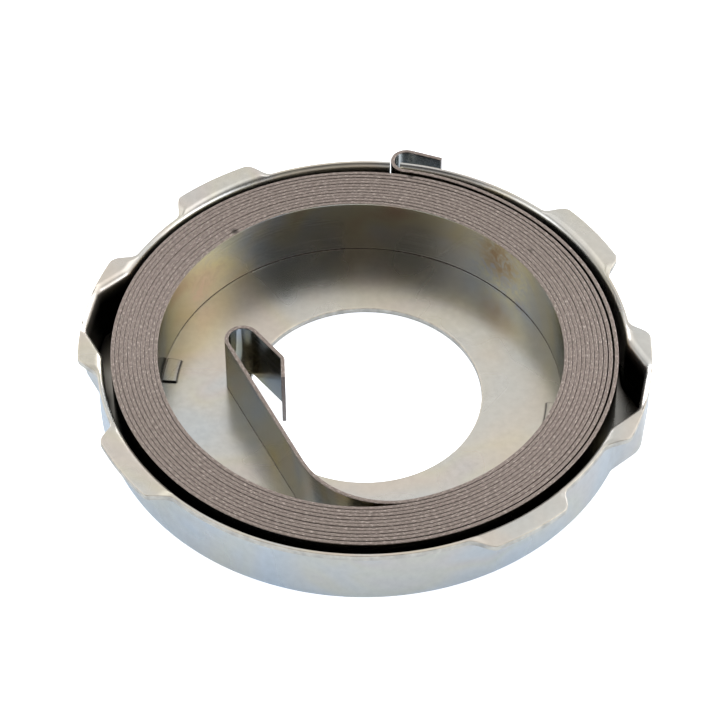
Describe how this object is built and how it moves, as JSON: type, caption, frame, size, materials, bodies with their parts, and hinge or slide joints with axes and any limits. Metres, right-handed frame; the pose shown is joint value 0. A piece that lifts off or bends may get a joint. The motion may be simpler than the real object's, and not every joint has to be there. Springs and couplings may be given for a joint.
{
  "type": "recoil starter spring",
  "caption": "Coiled flat strip spring held in a drawn sheet-steel keeper with rim tabs, side lobes and a central hole; rewinds a pull starter.",
  "frame": {"origin": "centre of the large hole in the floor, on the underside", "axes": "+Z along the axis of the hole, out of the open side; +X through the middle of one of the two wall lobes; the outer hook lies towards +Y"},
  "size_m": [0.0816, 0.0792, 0.0109],
  "materials": {
    "zinc_plated_steel": "satin, bright zinc plated",
    "spring_strip": "hardened strip, lightly oiled"
  },
  "bodies": {
    "root": {"spring_housing": "zinc_plated_steel", "spiral_spring": "spring_strip"}
  },
  "joints": []
}
